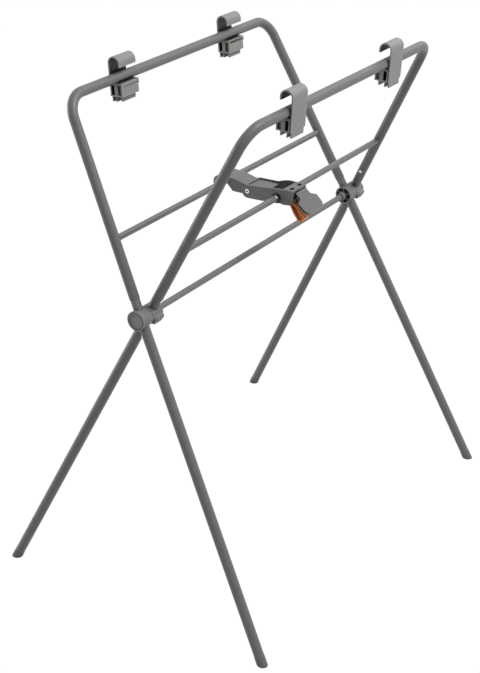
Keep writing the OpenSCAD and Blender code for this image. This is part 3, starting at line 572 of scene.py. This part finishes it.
def set_fasteners(name, profile, places, material, body, replaces=(), stretch=0):
    """Copies of one turned head on their places, each a (point, aim) pair, as one piece.

    A stretch in millimetres draws the head out along its Y, to a bar with round ends.
    """
    mesh = bpy.data.meshes.new("places")
    mesh.from_pydata([tuple(p) for p, _ in places], [], [])
    aims = mesh.attributes.new("aim", "FLOAT_VECTOR", "POINT")
    for item, (_, aim) in zip(aims.data, places):
        item.vector = aim
    head = lathe(name + "_head", profile, material)
    for corner in head.data.vertices:
        if abs(corner.co.y) > NO_LENGTH:
            corner.co.y += math.copysign(stretch * MM / 2, corner.co.y)
    bpy.context.scene.collection.objects.link(head)
    result = through_modifiers(mesh, ("NODES", (TREES["fasteners"],
                                                {"Head": head, "Material": material})))
    bpy.data.objects.remove(head)
    return finish_mesh(name, result, material, body, replaces, smooth=TURNED_SHARP)


# ---------------------------------------------------------------- finishes and tubes

class BATHSTAND_OT_materials(bpy.types.Operator):
    """Make the finishes and the geometry trees"""

    bl_idname = "bathstand.materials"
    bl_label = "Finishes"

    def execute(self, context):
        make_materials(context.scene.bathstand_finishes)
        make_bent_tube_tree()
        make_weld_tree()
        make_fastener_tree()
        return {"FINISHED"}


class BATHSTAND_OT_upper_tubes(bpy.types.Operator):
    """Bend the two upper tubes: each two legs, two corners and a top bar"""

    bl_idname = "bathstand.upper_tubes"
    bl_label = "Upper tubes"

    def execute(self, context):
        sizes = context.scene.bathstand_sizes
        rise = sizes.bar_height - PIVOT.z
        up = math.hypot(sizes.bar_spread, rise)
        for name in "ab":
            start = sizes.neck_end if name == "a" else sizes.socket_floor
            ends, corners = [], []
            for side in (NEAR, FAR):
                place = leg_place(name, side, True, sizes)
                reach = up / math.cos(upper_slope(name, side, sizes))
                ends.append(place @ Vector((0, 0, start)))
                corners.append(place @ Vector((0, 0, reach)))
            points = [ends[0], corners[0], corners[1], ends[1]]
            tube_along("bent_tube_" + name, points, sizes.tube_diameter / 2, sizes.tube_wall,
                       sizes.bend_radius, MATERIALS["tube"], "upper_tube_" + name)
        return {"FINISHED"}


class BATHSTAND_OT_lower_tubes(bpy.types.Operator):
    """Cut the four lower leg tubes"""

    bl_idname = "bathstand.lower_tubes"
    bl_label = "Lower tubes"

    def execute(self, context):
        sizes = context.scene.bathstand_sizes
        lean = math.atan2(sizes.bar_spread, sizes.bar_height - PIVOT.z)
        for name in "ab":
            for side, label in ((NEAR, "near"), (FAR, "far")):
                place = leg_place(name, side, False, sizes)
                turn = getattr(sizes, "splay_" + name)
                run = PIVOT.z / math.cos(lean) / math.cos(turn)
                points = [place @ Vector((0, 0, sizes.foot_length - run)),
                          place @ Vector((0, 0, -sizes.socket_floor))]
                tube_along("leg_tube_%s_%s" % (name, label), points, sizes.tube_diameter / 2,
                           sizes.tube_wall, 0, MATERIALS["tube"],
                           "lower_tube_%s_%s" % (name, label))
        return {"FINISHED"}


def seam_points(name, side, sizes):
    """Points round the seam where a crossbar meets its leg."""
    slant = side * upper_slope(name, side, sizes)
    leg, bar = sizes.tube_diameter / 2, sizes.bar_diameter / 2
    place = frame_place(name, sizes)
    points = []
    for i in range(SEAM_POINTS):
        turn = math.tau * i / SEAM_POINTS
        x, z = bar * math.cos(turn), sizes.crossbar_up + bar * math.sin(turn)
        inward = -side * math.sqrt(leg ** 2 - x ** 2)
        y = side * sizes.hub_half + (inward - z * math.sin(slant)) / math.cos(slant)
        points.append(place @ Vector((x, y, z)))
    return points


class BATHSTAND_OT_crossbars(bpy.types.Operator):
    """Set the two crossbars with their weld beads, and the hub bar"""

    bl_idname = "bathstand.crossbars"
    bl_label = "Crossbars and hub bar"

    def execute(self, context):
        sizes = context.scene.bathstand_sizes
        for name in "ab":
            softened("crossbar_" + name, "coped_bar_" + name, MATERIALS["bar"], edge_mm=0,
                     angle=TUBE_SHARP)
            for side, label in ((NEAR, "near"), (FAR, "far")):
                bead = through_modifiers(
                    edges_mesh(seam_points(name, side, sizes), closed=True),
                    ("NODES", (TREES["weld_bead"], {"Radius": sizes.weld_bead / 2,
                                                    "Phase Step": math.tau / RIPPLE_POINTS,
                                                    "Material": MATERIALS["weld"]})))
                finish_mesh("weld_%s_%s" % (name, label), bead, MATERIALS["weld"],
                            "frame_" + name, smooth=WELD_SHARP)
        softened("hub_bar", "hub_bar_tube", MATERIALS["bar"], edge_mm=0, angle=TUBE_SHARP)
        return {"FINISHED"}


# ---------------------------------------------------------------- hubs and feet

# Shares of the moulded edge that thinner mouldings get: thin walls, grip shell and grip lip
THIN_EDGE, GRIP_EDGE, LIP_EDGE = 0.7, 0.8, 0.6
# Pads on frame B's hub halves: turn round the folding axis from level, and sizes in mm
PAD_TURN = math.radians(-28)
PAD_LENGTH, PAD_WIDTH, PAD_HEIGHT = 28, 16.8, 2.6
# How deep a pad's foot reaches into the barrel, and how far its end stays off the hub's end
PAD_ROOT, PAD_INSET = 4, 0.3
# Outside radius of the hub barrels
BARREL_RADIUS = 16


def cap_profile(radius, thick):
    """A hub cap: a groove all round, a low rim and a shallow dish in its face."""
    return [(0, 0), (radius - 0.9, 0), (radius - 0.5, thick - 0.5),
            (radius - 1.0, thick - 0.05), (radius - 2.2, thick),
            (radius - 3.0, thick - 0.45), (radius * 0.5, thick - 0.6), (0, thick - 0.65)]


def pad_profile():
    """The round end of a hub pad, with its upper edge rounded off."""
    radius, top = PAD_WIDTH / 2, PAD_HEIGHT
    return [(0, -PAD_ROOT), (radius, -PAD_ROOT), (radius, top - 1.3),
            (radius - 0.35, top - 0.5), (radius - 1.1, top), (0, top)]


class BATHSTAND_OT_hubs(bpy.types.Operator):
    """Round the hub halves and set their caps, washers, bolts and pads"""

    bl_idname = "bathstand.hubs"
    bl_label = "Hubs"

    def execute(self, context):
        edge = context.scene.bathstand_sizes.edge_radius / MM
        for label in ("a_near", "a_far", "b_near", "b_far"):
            softened("hub_half_" + label, "hub_barrel_" + label, MATERIALS["hub"], edge)
        softened("hub_washers", "hub_wear_washers", MATERIALS["bush"], edge_mm=0)
        softened("pivot_bolts", "hub_bolts", MATERIALS["zinc"], edge_mm=0.6)
        # Each cap fills the recess over its bolt's head, its face outwards
        for cad_name, aim in (("hub_cap_near", NEAR), ("hub_cap_far", FAR)):
            low, high = box_of(cad_name)
            seat = high.y if aim == NEAR else low.y
            centre = Vector(((low.x + high.x) / 2, seat, (low.z + high.z) / 2))
            profile = cap_profile((high.x - low.x) / 2 / MM, (high.y - low.y) / MM)
            set_fasteners(cad_name + "_disc", profile, [(centre, (0, aim, 0))],
                          MATERIALS["hub"], body_of(cad_name), [cad_name])
        # A low pad with round ends lies along the barrel of each of frame B's hub halves
        aim = Vector((math.cos(PAD_TURN), 0, math.sin(PAD_TURN)))
        places = []
        for cad_name in ("hub_half_b_near", "hub_half_b_far"):
            end = box_of(cad_name)[1].y
            seat = Vector((PIVOT.x, end - (PAD_LENGTH / 2 + PAD_INSET) * MM, PIVOT.z))
            places.append((seat + aim * BARREL_RADIUS * MM, aim))
        pads = set_fasteners("hub_bosses", pad_profile(), places, MATERIALS["hub"], "frame_b",
                             stretch=PAD_LENGTH - PAD_WIDTH)
        return {"FINISHED"}


class BATHSTAND_OT_feet(bpy.types.Operator):
    """Round the four rubber feet"""

    bl_idname = "bathstand.feet"
    bl_label = "Feet"

    def execute(self, context):
        for label in ("a_near", "a_far", "b_near", "b_far"):
            softened("foot_" + label, "rubber_foot_" + label, MATERIALS["foot"], edge_mm=0.8)
        return {"FINISHED"}


# Rivets in the leg tubes: side, distance up the leg in mm, turn round the leg in degrees
TUBE_RIVETS = {
    "a": [(NEAR, 50, 180), (FAR, 50, 180), (NEAR, -38, 180), (FAR, -38, 180)],
    "b": [(NEAR, 32, 0), (FAR, 54, -90), (NEAR, -45, 0), (FAR, -45, 0)],
}
# How far a head's flange is drawn into the curve of the tube
RIVET_SINK = 0.4


class BATHSTAND_OT_rivets(bpy.types.Operator):
    """Set the domed rivets in the leg tubes beside the hubs"""

    bl_idname = "bathstand.rivets"
    bl_label = "Tube rivets"

    def execute(self, context):
        sizes = context.scene.bathstand_sizes
        for name, rivets in TUBE_RIVETS.items():
            places = []
            for side, up, turn in rivets:
                place = (leg_place(name, side, up > 0, sizes)
                         @ Matrix.Rotation(math.radians(turn), 4, "Z"))
                seat = Vector((sizes.tube_diameter / 2 - RIVET_SINK * MM, 0, up * MM))
                places.append((place @ seat, place.to_3x3() @ Vector((1, 0, 0))))
            finish = "coated_rivet" if name == "a" else "zinc"
            head = rivet_head(radius=3.2, height=1.1, shank=2.0, depth=3.5)
            set_fasteners("domed_rivets_" + name, head, places, MATERIALS[finish],
                          "frame_" + name, ["tube_rivets_" + name])
        return {"FINISHED"}


# ---------------------------------------------------------------- tub clips

class BATHSTAND_OT_clips(bpy.types.Operator):
    """Round the tub clips' hook bands and cradles, and set their screws"""

    bl_idname = "bathstand.clips"
    bl_label = "Tub clips"

    def execute(self, context):
        edge = context.scene.bathstand_sizes.edge_radius / MM
        for label in ("a_near", "a_far", "b_near", "b_far"):
            softened("clip_hook_" + label, "hook_band_" + label, MATERIALS["hook"], edge)
            softened("clip_cradle_" + label, "cradle_" + label, MATERIALS["cradle"],
                     edge * THIN_EDGE)
        for name in "ab":
            softened("clip_screws_" + name, "cradle_screws_" + name, MATERIALS["zinc"],
                     edge_mm=0.4)
        return {"FINISHED"}


# ---------------------------------------------------------------- brace

# Height of the knee rivet's rolled heads, and depth of the black rings' seat under the bushes'
# lip
ROLLED_HEAD, BUSH_LIP = 1.4, 0.6
# Section of the thin black ring round each bush: a dark piece laid where the hole round
# the bar is in shade, painted shade
SHADE_RING = [(7.1, 0), (9.4, 0), (9.6, 0.15), (9.6, 0.4), (9.3, 0.55), (7.1, 0.55), (7.1, 0)]


def tubular_rivet(radius, half):
    """Half of a tubular rivet, from its middle out to the rolled head round its hole."""
    start = ROLLED_HEAD - half
    return [(0, start), (2.5, start), (2.5, 0), (radius - 0.5, 0), (radius, 0.35),
            (radius, 0.75), (radius - 0.6, 1.25), (radius - 1.4, ROLLED_HEAD),
            (radius - 2.0, 1.1), (radius - 2.3, 0.5), (radius - 2.4, -0.6), (0, -0.6)]


def both_ends(cad_name, back_mm):
    """The two ends of a node along Y, each as a (point, aim) pair, set back by back_mm."""
    low, high = box_of(cad_name)
    middle, half = (low + high) / 2, (high.y - low.y) / 2
    return [(middle + Vector((0, side * (half - back_mm * MM), 0)), (0, side, 0))
            for side in (NEAR, FAR)]


class BATHSTAND_OT_brace(bpy.types.Operator):
    """Round the brace's arm and channel, and set what they turn on"""

    bl_idname = "bathstand.brace"
    bl_label = "Brace"

    def execute(self, context):
        edge = context.scene.bathstand_sizes.edge_radius / MM
        softened("brace_arm", "brace_arm_shell", MATERIALS["brace"], edge)
        softened("brace_channel", "brace_channel_shell", MATERIALS["brace"], edge * THIN_EDGE)
        softened("crossbar_bushes", "flanged_bushes", MATERIALS["bush"], edge_mm=0.3)
        softened("lock_collar", "notched_collar", MATERIALS["bush"], edge_mm=0.4)
        softened("lock_pawl", "sliding_pawl", MATERIALS["zinc"], edge_mm=0.3)
        # The knee turns on a tubular rivet, with a rolled head on each side of the channel
        low, high = box_of("knee_rivet")
        profile = tubular_rivet((high.x - low.x) / 2 / MM, (high.y - low.y) / 2 / MM)
        set_fasteners("knee_tubular_rivet", profile, both_ends("knee_rivet", ROLLED_HEAD),
                      MATERIALS["zinc"], "handle", ["knee_rivet"])
        softened("bar_rivets", "bar_stop_rivets", MATERIALS["zinc"], edge_mm=0.3)
        # A thin black ring lies round each bush, against the channel's side: painted shade, a
        # dark piece laid where the hole round the bar is in shade
        shade_rings = set_fasteners("bush_washers", SHADE_RING, both_ends("crossbar_bushes", BUSH_LIP),
                                MATERIALS["bush"], "handle")
        return {"FINISHED"}


class BATHSTAND_OT_grip(bpy.types.Operator):
    """Round the grip's two shells and set their screws"""

    bl_idname = "bathstand.grip"
    bl_label = "Grip"

    def execute(self, context):
        edge = context.scene.bathstand_sizes.edge_radius / MM
        softened("grip_upper", "grip_upper_shell", MATERIALS["grip"], edge * GRIP_EDGE)
        softened("grip_lower", "grip_lower_shell", MATERIALS["lip"], edge * LIP_EDGE)
        softened("grip_screws", "grip_shell_screws", MATERIALS["zinc"], edge_mm=0.3)
        return {"FINISHED"}


class BATHSTAND_OT_trigger(bpy.types.Operator):
    """Round the trigger, and set its pin and spring"""

    bl_idname = "bathstand.trigger"
    bl_label = "Trigger"

    def execute(self, context):
        softened("trigger", "squeeze_trigger", MATERIALS["trigger"], edge_mm=0.6)
        softened("trigger_pin", "trigger_hinge_pin", MATERIALS["black_pin"], edge_mm=0.3)
        softened("trigger_spring", "trigger_return_spring", MATERIALS["spring"], edge_mm=0)
        return {"FINISHED"}


# ---------------------------------------------------------------- stage

# The photograph's viewpoint, fitted to about forty points of the tubes: the camera's
# direction and distance from its target, the target and the lens
VIEW_AZIMUTH, VIEW_ELEVATION = math.radians(33.359), math.radians(26.705)
VIEW_DISTANCE = 2.498328
VIEW_TARGET = Vector((0.059575, PIVOT.y - 0.147663, 0.44365))
LENS_MM, SENSOR_MM = 108.26, 36.0
# Each studio light's place, the width of its disc and its power; they aim at mid height
LIGHTS = {
    "key": ((2.0, 0.6, 3.4), 2.0, 69),
    "fill": ((-3.4, -0.9, 0.8), 2.0, 42),
    "back": ((0.4, 3.2, 2.6), 2.2, 12),
}
LIT_POINT = Vector((0, 0, 0.5))
# The floor's grey for the light that falls on it, and the strength and share of the glow
# that the camera sees in it
FLOOR_GREY, FLOOR_GLOW, GLOW_SHARE = 0.42, 1.14, 0.86
# The floor's radius, the sides of its disc and how far it lies under the feet
FLOOR_RADIUS, FLOOR_SIDES, FLOOR_DROP = 14, 96, 0.0002
# The camera sees this far, past the floor's edge
SIGHT = 50
# The world's strength as light and as a backdrop
SKY_LIGHT, BACKDROP = 0.28, 1.0


def area_light(name, place, size, watts):
    """A round studio light that aims at the middle of the stand."""
    lamp = bpy.data.lights.new(name, "AREA")
    lamp.shape, lamp.size, lamp.energy = "DISK", size, watts
    holder = bpy.data.objects.new(name, lamp)
    holder.location = place
    holder.rotation_euler = (LIT_POINT - Vector(place)).to_track_quat("-Z", "Y").to_euler()
    bpy.context.scene.collection.objects.link(holder)


def seen_directly(tree):
    """1 for what the camera sees straight, mirrored or through glass, 0 for other light."""
    rays = add_node(tree, "ShaderNodeLightPath").outputs
    seen = calc(tree, "MAXIMUM", rays["Is Camera Ray"], rays["Is Glossy Ray"])
    return calc(tree, "MAXIMUM", seen, rays["Is Transmission Ray"])


def set_camera(scene):
    """Sets the camera to the photograph's viewpoint."""
    back = Vector((math.sin(VIEW_AZIMUTH) * math.cos(VIEW_ELEVATION),
                   -math.cos(VIEW_AZIMUTH) * math.cos(VIEW_ELEVATION),
                   math.sin(VIEW_ELEVATION)))
    lens = bpy.data.cameras.new("camera")
    lens.sensor_fit, lens.sensor_width, lens.lens = "HORIZONTAL", SENSOR_MM, LENS_MM
    lens.clip_end = SIGHT
    camera = bpy.data.objects.new("camera", lens)
    camera.location = VIEW_TARGET + back * VIEW_DISTANCE
    camera.rotation_euler = back.to_track_quat("Z", "Y").to_euler()
    scene.collection.objects.link(camera)
    scene.camera = camera


def set_floor():
    """Lays the painted studio floor: white to the eye, with a little of the stand's shade."""
    paint, tree = new_material("painted_studio_floor")
    share = calc(tree, "MULTIPLY", seen_directly(tree), GLOW_SHARE)
    matt = add_node(tree, "ShaderNodeBsdfDiffuse",
                    Color=(FLOOR_GREY, FLOOR_GREY, FLOOR_GREY, 1))
    glow = add_node(tree, "ShaderNodeEmission", Color=(1, 1, 1, 1), Strength=FLOOR_GLOW)
    mixed = add_node(tree, "ShaderNodeMixShader", i0=share, i1=matt.outputs[0],
                     i2=glow.outputs[0])
    add_node(tree, "ShaderNodeOutputMaterial", Surface=mixed.outputs[0])
    # It lies a hair under the feet, so that their flat ends don't flicker in it
    bpy.ops.mesh.primitive_circle_add(vertices=FLOOR_SIDES, radius=FLOOR_RADIUS,
                                      fill_type="NGON", location=(0, 0, -FLOOR_DROP))
    floor = bpy.context.object
    floor.name = "studio_floor"
    floor.data.materials.append(paint)


def set_world(scene):
    """Fills the studio with soft light, and shows white behind the stand."""
    world = bpy.data.worlds.new("studio")
    world.use_nodes = True
    tree = world.node_tree
    tree.nodes.clear()
    seen = seen_directly(tree)
    soft = add_node(tree, "ShaderNodeBackground", Color=(1, 1, 1, 1), Strength=SKY_LIGHT)
    white = add_node(tree, "ShaderNodeBackground", Color=(1, 1, 1, 1), Strength=BACKDROP)
    mixed = add_node(tree, "ShaderNodeMixShader", i0=seen, i1=soft.outputs[0],
                     i2=white.outputs[0])
    add_node(tree, "ShaderNodeOutputWorld", Surface=mixed.outputs[0])
    scene.world = world


class BATHSTAND_OT_stage(bpy.types.Operator):
    """Set the camera, the floor, the backdrop and the studio lights"""

    bl_idname = "bathstand.stage"
    bl_label = "Stage"

    def execute(self, context):
        set_camera(context.scene)
        set_floor()
        set_world(context.scene)
        for name, (place, size, watts) in LIGHTS.items():
            area_light(name, place, size, watts)
        context.scene.view_settings.view_transform = "Standard"
        return {"FINISHED"}


class BATHSTAND_PT_panel(bpy.types.Panel):
    """Lists the stand's sizes, finishes and pieces"""

    bl_idname = "BATHSTAND_PT_panel"
    bl_label = "Bath Stand"
    bl_space_type = "VIEW_3D"
    bl_region_type = "UI"
    bl_category = "Bath Stand"

    def draw(self, context):
        column = self.layout.column(align=True)
        for group in (context.scene.bathstand_sizes, context.scene.bathstand_finishes):
            for key in group.bl_rna.properties.keys():
                if key not in ("rna_type", "name"):
                    column.prop(group, key)
        for operator in OPERATORS:
            column.operator(operator.bl_idname)


OPERATORS = (BATHSTAND_OT_materials, BATHSTAND_OT_upper_tubes, BATHSTAND_OT_lower_tubes,
             BATHSTAND_OT_crossbars, BATHSTAND_OT_hubs, BATHSTAND_OT_feet, BATHSTAND_OT_rivets,
             BATHSTAND_OT_clips, BATHSTAND_OT_brace, BATHSTAND_OT_grip, BATHSTAND_OT_trigger,
             BATHSTAND_OT_stage)
CLASSES = (BATHSTAND_PG_sizes, BATHSTAND_PG_finishes, *OPERATORS, BATHSTAND_PT_panel)


def register():
    for cls in CLASSES:
        bpy.utils.register_class(cls)
    bpy.types.Scene.bathstand_sizes = bpy.props.PointerProperty(type=BATHSTAND_PG_sizes)
    bpy.types.Scene.bathstand_finishes = bpy.props.PointerProperty(type=BATHSTAND_PG_finishes)


def unregister():
    del bpy.types.Scene.bathstand_finishes
    del bpy.types.Scene.bathstand_sizes
    for cls in reversed(CLASSES):
        bpy.utils.unregister_class(cls)


def main():
    register()
    for operator in OPERATORS:
        group, name = operator.bl_idname.split(".")
        getattr(getattr(bpy.ops, group), name)()


if __name__ == "__main__":
    main()
